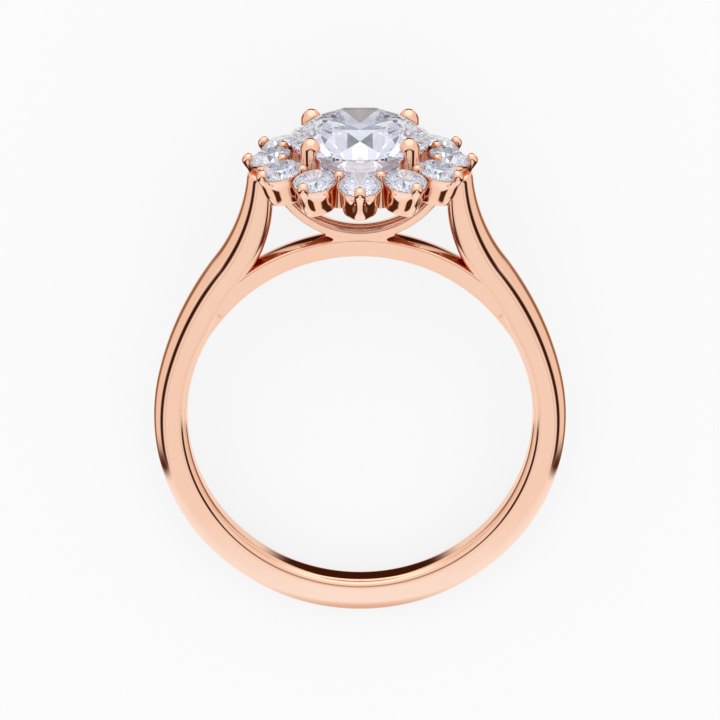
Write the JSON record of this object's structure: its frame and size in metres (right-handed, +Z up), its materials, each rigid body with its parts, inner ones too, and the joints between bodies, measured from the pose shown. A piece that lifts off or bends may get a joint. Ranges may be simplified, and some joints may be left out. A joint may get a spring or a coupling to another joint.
{
  "type": "diamond engagement ring",
  "caption": "Slim cathedral ring with a round halo cluster: a large round stone in four prongs, framed by small round stones in cups, over an open saddle.",
  "frame": {"origin": "centre of the finger hole, half way along it", "axes": "the ring lies on its side: +Y runs towards the head, +Z is up from the surface it lies on, +X runs across the band, and the finger hole's axis leans from +Z by the angle at which the ring rests"},
  "size_m": [0.0202, 0.0253, 0.0111],
  "materials": {
    "rose_gold": "polished rose gold, mirror bright",
    "diamond": "clear cut diamond with flat polished facets"
  },
  "bodies": {
    "root": {"mounting": "rose_gold", "centre_diamond": "diamond", "halo_diamond_01": "diamond", "halo_diamond_02": "diamond", "halo_diamond_03": "diamond", "halo_diamond_04": "diamond", "halo_diamond_05": "diamond", "halo_diamond_06": "diamond", "halo_diamond_07": "diamond", "halo_diamond_08": "diamond", "halo_diamond_09": "diamond", "halo_diamond_10": "diamond", "halo_diamond_11": "diamond", "halo_diamond_12": "diamond"}
  },
  "joints": []
}
